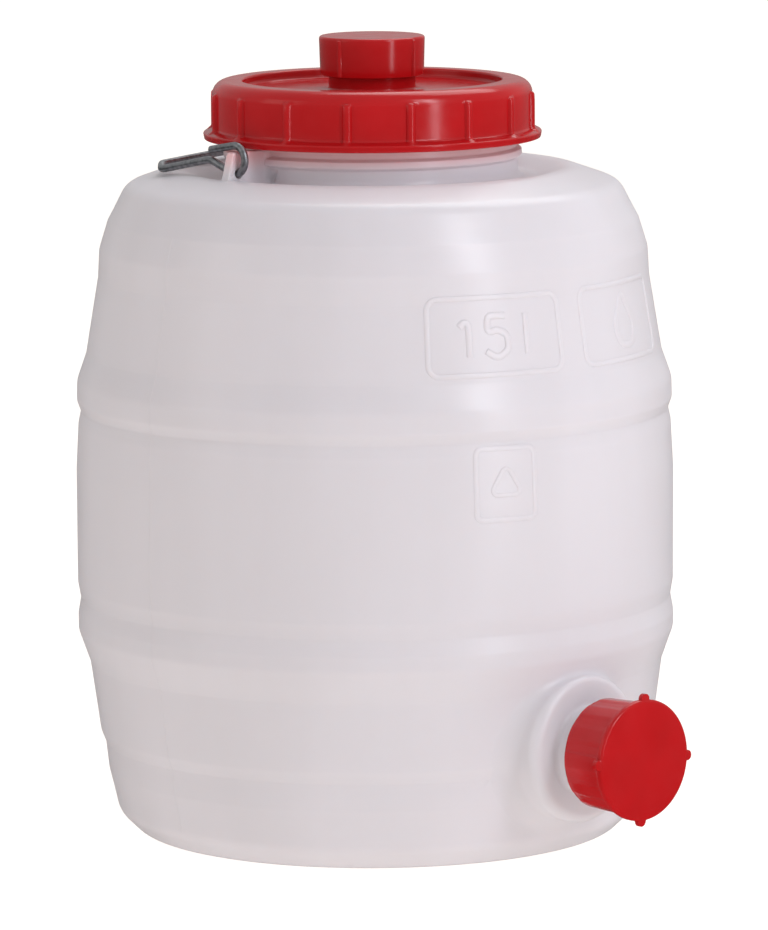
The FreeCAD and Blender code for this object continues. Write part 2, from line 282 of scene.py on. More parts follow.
def smooth(value):
    """0 below 0, 1 above 1 and a smooth ramp between."""
    value = np.clip(value, 0, 1)
    return value * value * (3 - 2 * value)


# ---------------------------------------------------------------- meshes
def solid(name, grid, closed_rows=False, place=None):
    """A closed mesh over a grid of points, rows by columns. Columns always wrap round. Rows wrap round too,
    or the grid is closed at both ends by a point."""
    if not closed_rows:
        first = np.broadcast_to(grid[0].mean(0), grid[0].shape)
        last = np.broadcast_to(grid[-1].mean(0), grid[-1].shape)
        grid = np.concatenate((first[None], grid, last[None]))
    rows, columns = grid.shape[:2]
    index = np.arange(rows * columns).reshape(rows, columns)
    if not closed_rows:
        index[0] = index[0, 0]
        index[-1] = index[-1, 0]
    below = index if closed_rows else index[:-1]
    above = np.roll(index, -1, 0) if closed_rows else index[1:]
    quads = np.stack((below, np.roll(below, -1, 1), np.roll(above, -1, 1), above), -1).reshape(-1, 4)
    points = grid.reshape(-1, 3)
    if place:
        points = place(points)
    used, inverse = np.unique(quads, return_inverse=True)
    faces = [list(dict.fromkeys(face)) for face in inverse.reshape(-1, 4).tolist()]
    mesh = bpy.data.meshes.new(name)
    mesh.from_pydata((points[used] * MM).tolist(), [], faces)
    if signed_volume(mesh) < 0:
        mesh.flip_normals()
    piece = bpy.data.objects.new(name, mesh)
    bpy.context.scene.collection.objects.link(piece)
    return piece


def signed_volume(mesh):
    """Three times the volume inside a mesh, negative when its faces point inwards."""
    total = 0.0
    for face in mesh.polygons:
        total += face.center.dot(face.normal) * face.area
    return total


def turned(profile, angles, shape=None):
    """A grid of points: a (radius, height) profile turned about Z, which shape(radius, height, angle) may
    alter."""
    radius = np.repeat(profile[:, :1], len(angles), 1)
    height = np.repeat(profile[:, 1:], len(angles), 1)
    angle = np.repeat(angles[None], len(profile), 0)
    if shape:
        radius, height = shape(radius, height, angle)
    return np.stack((radius * np.cos(angle), radius * np.sin(angle), height), -1)


def even_angles(count):
    return np.arange(count) * TAU / count


def crowded_angles(count, centres, half_span, fine):
    """Evenly spread angles, with a fine spacing near each of the given centres."""
    spread = even_angles(count)
    near = np.arange(-half_span, half_span + fine / 2, fine)
    close = np.concatenate([centre + near for centre in centres]) % TAU
    gap = np.abs((spread[:, None] - np.array(centres)[None] + math.pi) % TAU - math.pi).min(1)
    return np.sort(np.concatenate((spread[gap > half_span + fine], close)))


def apart(angle, centres):
    """The angle to the nearest of the given centres."""
    centres = np.array(centres)
    return np.abs((angle[..., None] - centres + math.pi) % TAU - math.pi).min(-1)


def swept(points, side, up, section):
    """A grid of points: a section of (sideways, upwards) points carried along a line."""
    section = np.array(section)
    across = side[:, None] * section[None, :, :1]
    return points[:, None] + across + up[:, None] * section[None, :, 1:]


def round_section(radius, count=20):
    return [(radius * math.cos(TAU * k / count), radius * math.sin(TAU * k / count)) for k in range(count)]


def joined(base, tools, operation):
    """The base with the tools added to it or cut from it. The tools are used up."""
    for tool in tools:
        modifier = base.modifiers.new("join", "BOOLEAN")
        modifier.operation = operation
        modifier.solver = "MANIFOLD"
        modifier.object = tool
    bpy.context.view_layer.update()
    graph = bpy.context.evaluated_depsgraph_get()
    mesh = bpy.data.meshes.new_from_object(base.evaluated_get(graph))
    base.modifiers.clear()
    old = base.data
    base.data = mesh
    bpy.data.meshes.remove(old)
    for tool in tools:
        bpy.data.meshes.remove(tool.data)
    return base


def thread_height(angle, height, spec):
    """How far a right-hand thread stands from its root, at each angle and height."""
    root, crest, pitch, turns, start = spec
    half_root = THREAD_HALF_ROOT * pitch
    half_crest = THREAD_HALF_CREST * pitch
    best = np.zeros_like(height)
    for lap in range(math.ceil(turns) + 1):
        progress = (angle % TAU) / TAU + lap
        away = np.abs(height - start - pitch * progress)
        ridge = smooth((half_root - away) / (half_root - half_crest))
        ends = smooth(progress / THREAD_FADE) * smooth((turns - progress) / THREAD_FADE)
        best = np.maximum(best, ridge * ends)
    return best * (crest - root)


def with_thread(radius, height, angle, spec, low, high):
    """Adds a thread to the rows that lie on its root, between two heights."""
    on_root = (np.abs(radius - spec[0]) < 0.05) & (height > low) & (height < high)
    return np.where(on_root, radius + thread_height(angle, height, spec), radius)


def thread_step(*specs):
    """Close rows on the root cylinders of the given threads, and wide ones elsewhere."""
    return lambda point: 0.6 if any(abs(point[0] - spec[0]) < 0.1 for spec in specs) else 3.0


def with_bumps(radius, angle, centres, centre_radius, bump_radius):
    """The outline of a round thing with half-round bumps standing on it."""
    away = apart(angle, centres)
    inside = np.maximum(bump_radius**2 - (centre_radius * np.sin(away)) ** 2, 0)
    bump = centre_radius * np.cos(away) + np.sqrt(inside)
    return np.where(inside > 0, np.maximum(radius, bump), radius)


def to_outlet(points):
    """Carries a shape built about +Z, with heights as distances from the barrel's axis, to the outlet."""
    return np.stack((points[:, 0], -points[:, 2], points[:, 1] + OUTLET_HEIGHT), -1)


# ---------------------------------------------------------------- barrel
OUTER = rounded_line(BODY_OUTLINE)
RIM_START = int(np.argmax(OUTER[:, 1]))
SIDE = OUTER[(OUTER[:, 0] > SHOULDER_RADIUS) & (np.arange(len(OUTER)) < RIM_START)]
SIDE = SIDE[np.argmax(SIDE[:, 0] > FOOT_RADIUS) :]
TOP = OUTER[(OUTER[:, 1] > SHOULDER_LOW) & (np.arange(len(OUTER)) < RIM_START)]
TOP = TOP[TOP[:, 1] < SHOULDER_HIGH][::-1]


def wave(angle, height):
    """The slow unevenness of a blown wall, never outwards of the outline."""
    slow = np.sin(3 * angle + 0.021 * height + 1.3) * np.sin(0.033 * height + 0.7)
    quick = 0.6 * np.sin(7 * angle - 0.047 * height) * np.sin(0.071 * height + 2.1)
    band = smooth((height - WAVE_LOW) / WAVE_FADE) * smooth((WAVE_HIGH - height) / WAVE_FADE)
    return band * WAVE_DEPTH * (0.5 * (slow + quick) - WAVE_SHIFT)


def side_radius(angle, height):
    """The body's outer radius."""
    return np.interp(height, SIDE[:, 1], SIDE[:, 0]) + wave(angle, height)


def shoulder_height(radius):
    """The height of the top of the shoulder."""
    return np.interp(radius, TOP[:, 0], TOP[:, 1])


def body_shape(radius, height, angle):
    radius = radius + np.where(radius > SHOULDER_RADIUS, wave(angle, height), 0)
    radius = with_thread(radius, height, angle, NECK_THREAD, THREADED_NECK_LOW, NECK_TOP - 1)
    return radius, height


def row_step(point):
    """Closer rows on the neck, where the thread is."""
    on_neck = point[0] < NECK_RADIUS + 0.5 and point[1] > THREADED_NECK_LOW
    return 0.7 if on_neck else 5.0


def body_shell():
    inner = offset_inside(divided(OUTER[:RIM_START], 2.0), WALL)
    inner = inner[inner[:, 1] < NECK_TOP - 4.0][::-4]
    outer = divided(OUTER, row_step)
    profile = np.concatenate((outer[1:], inner[:-1]))
    return solid("barrel_moulding", turned(profile, even_angles(212), body_shape))


def boss():
    """The outlet's round boss and threaded spout, with a fillet that follows the body's wall."""
    angles = even_angles(120)
    rows = []
    across = np.cos(angles)
    upward = np.sin(angles)
    # how far the fillet's skirt is buried in the wall, and how far its edge is sunk to join cleanly
    buried = 1.2
    sunk = 0.05

    def wall_at(distance):
        x = distance * across
        height = OUTLET_HEIGHT + distance * upward
        radius = side_radius(np.arctan2(-BOSS_FACE, x), height)
        return np.sqrt(radius**2 - x**2)

    room = BOSS_FACE - wall_at(BOSS_RADIUS)
    fillet = np.minimum(BOSS_FILLET, BOSS_FILLET_SHARE * room)
    corner = np.minimum(BOSS_CORNER, BOSS_CORNER_SHARE * room)
    rim = BOSS_RADIUS + fillet + 2.0
    rows.append((rim, np.full_like(rim, BOSS_ROOT)))
    rows.append((rim, wall_at(rim) - buried))
    for turn in quarter_turn(12):
        distance = BOSS_RADIUS + fillet * (1 - math.sin(turn))
        rows.append((distance, wall_at(distance) + fillet * (1 - math.cos(turn)) - sunk))
    for turn in quarter_turn(8):
        distance = BOSS_RADIUS - corner * (1 - math.cos(turn))
        rows.append((distance, BOSS_FACE - corner * (1 - math.sin(turn))))
    spout = rounded_line(
        [
            (SPOUT_START_RADIUS, BOSS_FACE, 0.0),
            (SPOUT_RADIUS, BOSS_FACE, 2.0),
            (SPOUT_RADIUS, SPOUT_END, 0.8),
            (SPOUT_CLOSE_RADIUS, SPOUT_END, 0.0),
        ]
    )
    spout = divided(spout, thread_step(OUTLET_THREAD))
    radius = np.repeat(spout[:, :1], len(angles), 1)
    height = np.repeat(spout[:, 1:], len(angles), 1)
    angle = np.repeat(angles[None], len(spout), 0)
    radius = with_thread(radius, height, angle, OUTLET_THREAD, BOSS_FACE + 3, SPOUT_END - 1)
    rows += list(zip(radius, height))
    grid = np.stack([np.stack((r * across, r * upward, h), -1) for r, h in rows])
    return solid("boss", grid, place=to_outlet)


def fin(side):
    """A fin with rounded edges, flared where it meets the shoulder and the neck."""
    ridge = rounded_line(FIN_RIDGE)
    stations = np.concatenate((np.arange(FIN_ROOT, FIN_MIDDLE, 0.9), np.arange(FIN_MIDDLE, FIN_END, 0.4)))
    half = FIN_THICKNESS / 2
    sections = []
    for x in stations:
        top = float(np.interp(x, ridge[:, 0], ridge[:, 1]))
        foot = min(float(shoulder_height(x)), top - 0.4)
        room = top - foot
        flare = min(FIN_FILLET, 0.6 * room)
        edge = min(FIN_EDGE, 0.35 * room)
        into_neck = float(np.clip(1 - (x - NECK_RADIUS) / FIN_FILLET, 0, 1))
        waist = half + FIN_FILLET * (1 - math.sqrt(1 - into_neck**2))
        edge_side = []
        for turn in quarter_turn(8):
            rise = flare * (1 - math.cos(turn))
            edge_side.append((waist + flare * (1 - math.sin(turn)), foot - 0.3 + rise))
        for turn in quarter_turn(5):
            drop = edge * (1 - math.sin(turn))
            edge_side.append((waist - edge * (1 - math.cos(turn)), top - drop))
        loop = [(waist + flare, foot - 1.5)] + edge_side
        loop += [(-y, z) for y, z in loop[::-1]]
        sections.append([(side * x, y, z) for y, z in loop])
    plate = solid("fin", np.array(sections))
    through = np.array([(0.0, -6.0 * FIN_THICKNESS, 0.0), (0.0, 6.0 * FIN_THICKNESS, 0.0)])
    through += np.array((side * BAIL_SIDE, 0.0, FIN_HOLE_HEIGHT))
    x_axis = np.array([(1.0, 0.0, 0.0)] * 2)
    z_axis = np.array([(0.0, 0.0, 1.0)] * 2)
    hole = solid("hole", swept(through, x_axis, z_axis, round_section(FIN_HOLE_RADIUS, 32)))
    return plate, hole


def on_body(angle_degrees, height, line):
    """Points and directions on the body's wall for a line of (across, up) points about a place on it."""
    reach = float(side_radius(math.radians(angle_degrees), height))
    angle = math.radians(angle_degrees) + line[:, 0] / reach
    z = height + line[:, 1]
    radius = side_radius(angle, z)
    # the radius gained over one millimetre of height
    slope = side_radius(angle, z + 0.5) - side_radius(angle, z - 0.5)
    points = np.stack((radius * np.cos(angle), radius * np.sin(angle), z), -1)
    normal = np.stack((np.cos(angle), np.sin(angle), -slope), -1)
    return points, normal / np.linalg.norm(normal, axis=1)[:, None]


def bead(angle_degrees, height, corners, raised, closed=False):
    """A raised line on the body's wall, half-round above it and buried below."""
    half_width, rise = raised
    line = divided(rounded_line(corners, closed, math.radians(12)), 1.2, closed)
    points, normal = on_body(angle_degrees, height, line)
    if closed:
        along = np.roll(points, -1, 0) - np.roll(points, 1, 0)
    else:
        along = np.gradient(points, axis=0)
    side = np.cross(normal, along)
    side /= np.linalg.norm(side, axis=1)[:, None]
    section = []
    for k in range(12):
        turn = TAU * k / 12
        up = math.sin(turn)
        section.append((half_width * math.cos(turn), rise * up if up > 0 else BEAD_BURIED * up))
    return solid("bead", swept(points, side, normal, section), closed_rows=closed)


def rectangle(width, height, corner):
    x, y = width / 2, height / 2
    return [(x, -y, corner), (x, y, corner), (-x, y, corner), (-x, -y, corner)]


def marks():
    """The two panels' frames, the 15 l mark, a plain drop and a plain triangle in a small frame."""
    panel = rectangle(*PANEL_SIZE)
    small_panel = rectangle(*SMALL_PANEL_SIZE)
    one = [(-18.2, 4.4, 0), (-13.8, 8.8, 1.8), (-13.8, -8.8, 0)]
    five = [
        (4.2, 8.8, 0),
        (-4.4, 8.8, 1.8),
        (-5.2, 1.2, 1.8),
        (-0.3, 2.6, 3.0),
        (4.9, 0.8, 3.6),
        (4.9, -6.4, 4.0),
        (-0.5, -10.2, 4.4),
        (-5.8, -6.6, 0),
    ]
    letter = [(14.6, 9.2, 0), (14.6, -8.6, 0)]
    drop = [(0.0, 12.5, 1.2), (8.6, -1.0, 7.0), (7.2, -11.0, 7.0), (-7.2, -11.0, 7.0), (-8.6, -1.0, 7.0)]
    triangle = [(-8.4, -5.0, 2.4), (8.4, -5.0, 2.4), (0.0, 9.0, 2.4)]
    return [
        bead(LITRES_PANEL_ANGLE, PANEL_HEIGHT, panel, FRAME_LINE, True),
        bead(DROP_PANEL_ANGLE, PANEL_HEIGHT, panel, FRAME_LINE, True),
        bead(LITRES_PANEL_ANGLE, SMALL_PANEL_HEIGHT, small_panel, SMALL_FRAME_LINE, True),
        bead(LITRES_PANEL_ANGLE, PANEL_HEIGHT, one, STROKE_LINE),
        bead(LITRES_PANEL_ANGLE, PANEL_HEIGHT, five, STROKE_LINE),
        bead(LITRES_PANEL_ANGLE, PANEL_HEIGHT, letter, LETTER_LINE),
        bead(DROP_PANEL_ANGLE, PANEL_HEIGHT, drop, STROKE_LINE, True),
        bead(LITRES_PANEL_ANGLE, SMALL_PANEL_HEIGHT, triangle, TRIANGLE_LINE, True),
    ]


def seams():
    """The mould's parting line: up both sides in the fins' plane."""
    line = [(0.0, SEAM_LOW, 0), (0.0, SEAM_HIGH, 0)]
    return [bead(angle, 0.0, line, SEAM_LINE) for angle in (0.0, 180.0)]


def outlet_cutter(name, radius, high):
    """A cylinder along the outlet, from inside the barrel out to a distance from its axis."""
    ends = np.array([(radius, BOSS_ROOT - 2), (radius, high)])
    return solid(name, turned(ends, even_angles(96)), place=to_outlet)


def barrel():
    shell = body_shell()
    fins = [fin(side) for side in (-1, 1)]
    plates, holes = (list(group) for group in zip(*fins))
    shell = joined(shell, [boss()] + plates + marks() + seams(), "UNION")
    boss_room = outlet_cutter("boss_room", BOSS_RADIUS - WALL, BOSS_FACE - WALL)
    bore = outlet_cutter("bore", SPOUT_BORE_RADIUS, SPOUT_END + 1)
    return joined(shell, [boss_room, bore] + holes, "DIFFERENCE")


# ---------------------------------------------------------------- lid, caps and seals
def bump_centres(phase, count):
    """The angles of evenly spaced bumps round a cap, from the first one's angle in degrees."""
    return [math.radians(phase + 360 / count * k) for k in range(count)]


def lid_rib_centres():
    return [math.radians(LID_RIB_PHASE) + TAU * k / LID_RIBS for k in range(LID_RIBS)]


def lid_shape(radius, height, angle):
    """Adds the grip ribs, which die into the crown, and both threads."""
    away = apart(angle, lid_rib_centres()) * LID_PANEL_RADIUS / LID_RIB_HALF_WIDTH
    rib = np.sqrt(np.maximum(1 - away**2, 0)) ** 0.8
    into_crown = np.maximum((height - LID_RIB_TOP + LID_RIB_CORNER) / LID_RIB_CORNER, 0)
    crown = np.sqrt(np.maximum(1 - into_crown**2, 0))
    outside = (radius > LID_PANEL_RADIUS - 1.5) & (height > LID_BOTTOM + 3.5)
    out = np.where(outside, rib * crown * LID_RIB_HEIGHT, 0)
    radius = with_thread(radius, height, angle, LID_THREAD, LID_BOTTOM, LID_TOP - WALL - 0.5)
    radius = with_thread(radius, height, angle, SPIGOT_THREAD, RECESS_FLOOR + 1, SPIGOT_TOP - 0.7)
    return radius + out, height


def lid():
    plug = RECESS_RADIUS + WALL
    flange_top = LID_BOTTOM + LID_FLANGE_DEPTH
    outline = [
        (SPIGOT_BORE_RADIUS, RECESS_FLOOR - WALL, 0.4),
        (plug, RECESS_FLOOR - WALL, 1.0),
        (plug, LID_TOP - WALL, 0.5),
        (LID_BORE_RADIUS, LID_TOP - WALL, 0.5),
        (LID_BORE_RADIUS, LID_BOTTOM, 0.5),
        (LID_FLANGE_RADIUS - LID_FLANGE_DRAFT, LID_BOTTOM, 0.5),
        (LID_FLANGE_RADIUS, flange_top, 0.8),
        (LID_PANEL_RADIUS, flange_top + LID_FLANGE_SLOPE, 1.5),
        (LID_PANEL_RADIUS, LID_TOP, 6.5),
        (RECESS_RADIUS, LID_TOP, 1.0),
        (RECESS_RADIUS, RECESS_FLOOR, 1.8),
        (SPIGOT_RADIUS, RECESS_FLOOR, 1.2),
        (SPIGOT_RADIUS, SPIGOT_TOP, 0.6),
        (SPIGOT_BORE_RADIUS, SPIGOT_TOP, 0.6),
    ]

    def step(point):
        on_crown = point[0] > LID_PANEL_RADIUS - 0.1 and point[1] > LID_RIB_TOP - 3
        return 0.5 if on_crown else thread_step(LID_THREAD, SPIGOT_THREAD)(point)

    profile = divided(rounded_line(outline, True), step, True)
    span = 1.15 * LID_RIB_HALF_WIDTH / LID_PANEL_RADIUS
    angles = crowded_angles(112, lid_rib_centres(), span, span / 5)
    return solid("lid_moulding", turned(profile, angles, lid_shape), closed_rows=True)


def lid_cap():
    inner_face = LID_CAP_TOP - CAP_TOP_THICKNESS
    bore = LID_CAP_THREAD[0]
    outline = [
        (0, inner_face, 0),
        (bore, inner_face, 0.5),
        (bore, LID_CAP_BOTTOM, 0.4),
        (LID_CAP_RADIUS - LID_CAP_TAPER, LID_CAP_BOTTOM, 0.5),
        (LID_CAP_RADIUS, LID_CAP_TOP, 1.2),
        (0, LID_CAP_TOP, 0),
    ]
    centres = bump_centres(LID_CAP_RIB_PHASE, 4)

    def shape(radius, height, angle):
        between = (height > LID_CAP_BOTTOM + 0.3) & (height < LID_CAP_TOP - LID_CAP_RIB_DROP)
        on_skirt = (radius > LID_CAP_RADIUS - 0.9) & between
        ribbed = with_bumps(radius, angle, centres, LID_CAP_RADIUS - 0.3, LID_CAP_RIB_RADIUS)
        radius = np.where(on_skirt, ribbed, radius)
        radius = with_thread(radius, height, angle, LID_CAP_THREAD, LID_CAP_BOTTOM, inner_face - 0.6)
        return radius, height

    profile = divided(rounded_line(outline), thread_step(LID_CAP_THREAD))[1:-1]
    angles = crowded_angles(120, centres, 0.06, 0.008)
    return solid("lid_cap_moulding", turned(profile, angles, shape))


def outlet_cap():
    flange_rear = OUTLET_CAP_FACE - OUTLET_FLANGE_DEPTH
    inner_face = OUTLET_CAP_FACE - CAP_TOP_THICKNESS
    bore = OUTLET_CAP_THREAD[0]
    outline = [
        (0, inner_face, 0),
        (bore, inner_face, 0.5),
        (bore, OUTLET_CAP_REAR, 0.4),
        (OUTLET_CAP_REAR_RADIUS, OUTLET_CAP_REAR, 0.6),
        (OUTLET_CAP_RADIUS, flange_rear, 0.8),
        (OUTLET_FLANGE_RADIUS, flange_rear, 0.6),
        (OUTLET_FLANGE_RADIUS, OUTLET_CAP_FACE, 1.3),
        (0, OUTLET_CAP_FACE, 0),
    ]
    centres = bump_centres(NUB_PHASE, 4)

    def shape(radius, height, angle):
        on_skirt = (radius > OUTLET_CAP_REAR_RADIUS - 0.4) & (height < flange_rear - 0.2)
        flutes = FLUTE_DEPTH * (smooth(1.5 + 2.5 * np.cos(OUTLET_CAP_FLUTES * angle)) - 1)
        radius = np.where(on_skirt, radius + flutes, radius)
        on_rim = (radius > OUTLET_FLANGE_RADIUS - 0.5) & (height > flange_rear + 0.3)
        nubbed = with_bumps(radius, angle, centres, NUB_CENTRE_RADIUS, NUB_RADIUS)
        radius = np.where(on_rim & (height < OUTLET_CAP_FACE - NUB_SETBACK), nubbed, radius)
        radius = with_thread(radius, height, angle, OUTLET_CAP_THREAD, OUTLET_CAP_REAR, inner_face - 0.6)
        return radius, height

    step = thread_step(OUTLET_CAP_THREAD, (OUTLET_FLANGE_RADIUS,))
    profile = divided(rounded_line(outline), step)[1:-1]
    angles = crowded_angles(144, centres, 0.11, 0.01)
    return solid("outlet_cap_moulding", turned(profile, angles, shape), place=to_outlet)


def seal_beads(radius, height, low, high, beads):
    """Round ridges pressed into both faces of a soft seal."""
    middle = (low + high) / 2
    swell = [np.exp(-((radius - bead) / SEAL_BEAD_WIDTH) ** 2) for bead in beads]
    dip = SEAL_DIP * (1 - np.max(swell, axis=0))
    return np.where(height > middle, height - dip, height + dip)


def lid_seal():
    low = NECK_TOP + GAP
    high = LID_TOP - WALL - GAP
    inner = RECESS_RADIUS + WALL + GAP
    section = [(inner, low), (LID_SEAL_RADIUS, low), (LID_SEAL_RADIUS, high), (inner, high)]
    outline = [corner + (0.4,) for corner in section]
    profile = divided(rounded_line(outline, True), 0.5, True)

    def shape(radius, height, angle):
        return radius, seal_beads(radius, height, low, high, (64.0, 68.5))

    return solid("lid_gasket", turned(profile, even_angles(160), shape), closed_rows=True)


def seal_disc(name, radius, low, high, place=None):
    outline = [(0, low, 0), (radius, low, 0.5), (radius, high, 0.5), (0, high, 0)]
    profile = divided(rounded_line(outline), 0.6)[1:-1]

    def shape(r, height, angle):
        return r, seal_beads(r, height, low, high, (6.0, 12.0, radius - 3.5))

    return solid(name, turned(profile, even_angles(96), shape), place=place)


# ---------------------------------------------------------------- bail
def on_eye(side, degrees):
    """A point on the eye's circle, its angle measured from +Y towards +Z."""
    angle = math.radians(degrees)
    return (side * BAIL_SIDE, EYE_RADIUS * math.cos(angle), BAIL_AXIS_HEIGHT + EYE_RADIUS * math.sin(angle))


def bail_half(side):
    """From the wire's cut end, round the eye and along the leg, to the corner before the crossbar's apex."""
    steps = 24
    span = EYE_BOTTOM_ANGLE - EYE_TOP_ANGLE
    eye = [on_eye(side, EYE_TOP_ANGLE + span * k / steps) for k in range(steps + 1)]
    top_angle = math.radians(EYE_TOP_ANGLE)
    run = (EYE_END_Y - eye[0][1]) / math.sin(top_angle)
    end = (eye[0][0], EYE_END_Y, eye[0][2] - math.cos(top_angle) * run)
    corners = [end + (0.0,)] + [point + (0.0,) for point in eye]
    knee_y, knee_z, knee_radius = KNEE
    corners.append((side * BAIL_SIDE, knee_y, knee_z, knee_radius))
    corners += [(side * x, y, z, radius) for x, y, z, radius in (CORNER_LOW, CORNER_HIGH)]
    return corners


def bail():
    """Round wire bent into an open eye at each end, two legs and a shallow gabled crossbar."""
    line = divided(rounded_line(bail_half(-1) + [APEX] + bail_half(1)[::-1]), 2.5)
    along = np.gradient(line, axis=0)
    along /= np.linalg.norm(along, axis=1)[:, None]
    up = np.zeros_like(line)
    up[0] = unit(np.cross(along[0], (1.0, 0.0, 0.0)))
    for k in range(1, len(line)):
        up[k] = unit(up[k - 1] - along[k] * float(up[k - 1] @ along[k]))
    side = np.cross(up, along)
    grid = swept(line, side, up, round_section(WIRE_RADIUS))
    ends = []
    for place, heading in ((0, -1), (-1, 1)):
        pulled = line[place] - heading * along[place] * WIRE_CHAMFER
        grid[place] = pulled + (grid[place] - line[place])
        small = round_section(WIRE_RADIUS - WIRE_CHAMFER)
        ends.append(swept(line[place][None], side[place][None], up[place][None], small))
    return solid("bail_wire", np.concatenate((ends[0], grid, ends[1])))


# ---------------------------------------------------------------- materials
class Finish:
    """A node material: helpers that add nodes and join them."""

    def __init__(self, name):
        self.material = bpy.data.materials.new(name)
        self.material.use_nodes = True
        self.tree = self.material.node_tree
        self.tree.nodes.clear()
        self.shader = self.tree.nodes.new("ShaderNodeBsdfPrincipled")
        output = self.tree.nodes.new("ShaderNodeOutputMaterial")
        self.link(self.shader.outputs["BSDF"], output.inputs["Surface"])
        self.place = self.tree.nodes.new("ShaderNodeTexCoord").outputs["Object"]

    def link(self, source, target):
        self.tree.links.new(source, target)

    def set(self, **values):
        for name, value in values.items():
            self.shader.inputs[name.replace("_", " ")].default_value = value

    def noise(self, scale, detail, stretch=(1.0, 1.0, 1.0)):
        mapping = self.tree.nodes.new("ShaderNodeMapping")
        mapping.inputs["Scale"].default_value = stretch
        self.link(self.place, mapping.inputs["Vector"])
        node = self.tree.nodes.new("ShaderNodeTexNoise")
        node.inputs["Scale"].default_value = scale
        node.inputs["Detail"].default_value = detail
        self.link(mapping.outputs["Vector"], node.inputs["Vector"])
        return node.outputs["Fac"]

    def ramp(self, source, stops):
        node = self.tree.nodes.new("ShaderNodeValToRGB")
        ramp = node.color_ramp
        while len(ramp.elements) < len(stops):
            ramp.elements.new(0.5)
        for element, (position, colour) in zip(ramp.elements, stops):
            element.position = position
            element.color = (*colour, 1.0)
        self.link(source, node.inputs["Fac"])
        return node.outputs["Color"]

    def height_fade(self, low, high):
        """0 below the low height and 1 above the high one, in the part's frame."""
        split = self.tree.nodes.new("ShaderNodeSeparateXYZ")
        self.link(self.place, split.inputs["Vector"])
        fade = self.tree.nodes.new("ShaderNodeMapRange")
        fade.interpolation_type = "SMOOTHSTEP"
        fade.inputs["From Min"].default_value = low
        fade.inputs["From Max"].default_value = high
        self.link(split.outputs["Z"], fade.inputs["Value"])
        return fade.outputs["Result"]

    def blend(self, source, colour, amount):
        node = self.tree.nodes.new("ShaderNodeMixRGB")
        node.inputs["Color2"].default_value = (*colour, 1.0)
        self.link(source, node.inputs["Color1"])
        self.link(amount, node.inputs["Fac"])
        return node.outputs["Color"]

    def levels(self, source, low, high):
        """A noise's usual range carried to the range from low to high."""
        node = self.tree.nodes.new("ShaderNodeMapRange")
        node.inputs["From Min"].default_value = 0.3
        node.inputs["From Max"].default_value = 0.7
        node.inputs["To Min"].default_value = low
        node.inputs["To Max"].default_value = high
        self.link(source, node.inputs["Value"])
        return node.outputs["Result"]

    def bump(self, source, strength, distance):
        node = self.tree.nodes.new("ShaderNodeBump")
        node.inputs["Strength"].default_value = strength
        node.inputs["Distance"].default_value = distance
        self.link(source, node.inputs["Height"])
        return node.outputs["Normal"]

    def use(self, name, source):
        self.link(source, self.shader.inputs[name])


def natural_hdpe():
    """Milky polyethylene: light passes a little way in, with faint vertical flow marks from blowing, and a
    painted pink glow at the neck where the red lid's light would pass into it.
    """
    finish = Finish("natural_hdpe")
    finish.set(IOR=1.52, Subsurface_Weight=0.5, Subsurface_Scale=0.003, Subsurface_Radius=(1.0, 0.85, 0.8))
    flow = finish.noise(24, 2.0, (1.0, 1.0, 0.15))
    milky = finish.ramp(flow, [(0.30, (0.72, 0.685, 0.72)), (0.70, (0.75, 0.715, 0.755))])
    # painted light: the base colour is blended to pink over the neck just under the lid, standing in for red
    # light from the lid shining into the milky plastic
    finish.use("Base Color", finish.blend(milky, (0.90, 0.52, 0.54), finish.height_fade(0.308, 0.321)))
    finish.use("Roughness", finish.levels(finish.noise(40, 2.0), 0.29, 0.34))
    finish.use("Normal", finish.bump(finish.noise(500, 2.0), 0.05, 0.0002))
    return finish.material


def red_plastic():
    """Glossy moulded red plastic with a faint orange-peel and fine handling scuffs."""
    finish = Finish("red_plastic")
    finish.set(IOR=1.41)
    flow = finish.noise(45, 2.0)
    finish.use("Base Color", finish.ramp(flow, [(0.30, (0.45, 0.004, 0.006)), (0.70, (0.50, 0.005, 0.008))]))
    finish.use("Roughness", finish.levels(finish.noise(160, 3.0), 0.15, 0.22))
    finish.use("Normal", finish.bump(finish.noise(220, 2.0), 0.05, 0.0002))
    return finish.material


def zinc_wire():
    """Galvanised steel wire: dull zinc with mottled spangle and fine drawing lines."""
    finish = Finish("zinc_wire")
    finish.set(Metallic=1.0)
    spangle = finish.noise(420, 3.0)
    finish.use("Base Color", finish.ramp(spangle, [(0.30, (0.17, 0.18, 0.19)), (0.70, (0.36, 0.37, 0.39))]))
    finish.use("Roughness", finish.levels(spangle, 0.28, 0.48))
    finish.use("Normal", finish.bump(finish.noise(1500, 2.0), 0.15, 0.0001))
    return finish.material


def soft_seal():
    """Off-white soft sealing plastic, matt and slightly porous."""
    finish = Finish("soft_seal")
    finish.set(Subsurface_Weight=0.15, Subsurface_Scale=0.003)
    pores = finish.noise(700, 4.0)
    finish.use("Base Color", finish.ramp(pores, [(0.30, (0.62, 0.60, 0.55)), (0.70, (0.74, 0.72, 0.67))]))
    finish.use("Roughness", finish.levels(pores, 0.62, 0.80))
    finish.use("Normal", finish.bump(pores, 0.25, 0.0002))
    return finish.material


# ---------------------------------------------------------------- the object
SHARP_ANGLE = math.radians(38)
low_lid_cap = SPIGOT_TOP + GAP
high_lid_cap = LID_CAP_TOP - CAP_TOP_THICKNESS - GAP
high_outlet_cap = OUTLET_CAP_FACE - CAP_TOP_THICKNESS - GAP
finishes = {
    "natural_hdpe": natural_hdpe(),
    "red_plastic": red_plastic(),
    "zinc_wire": zinc_wire(),
    "soft_seal": soft_seal(),
}
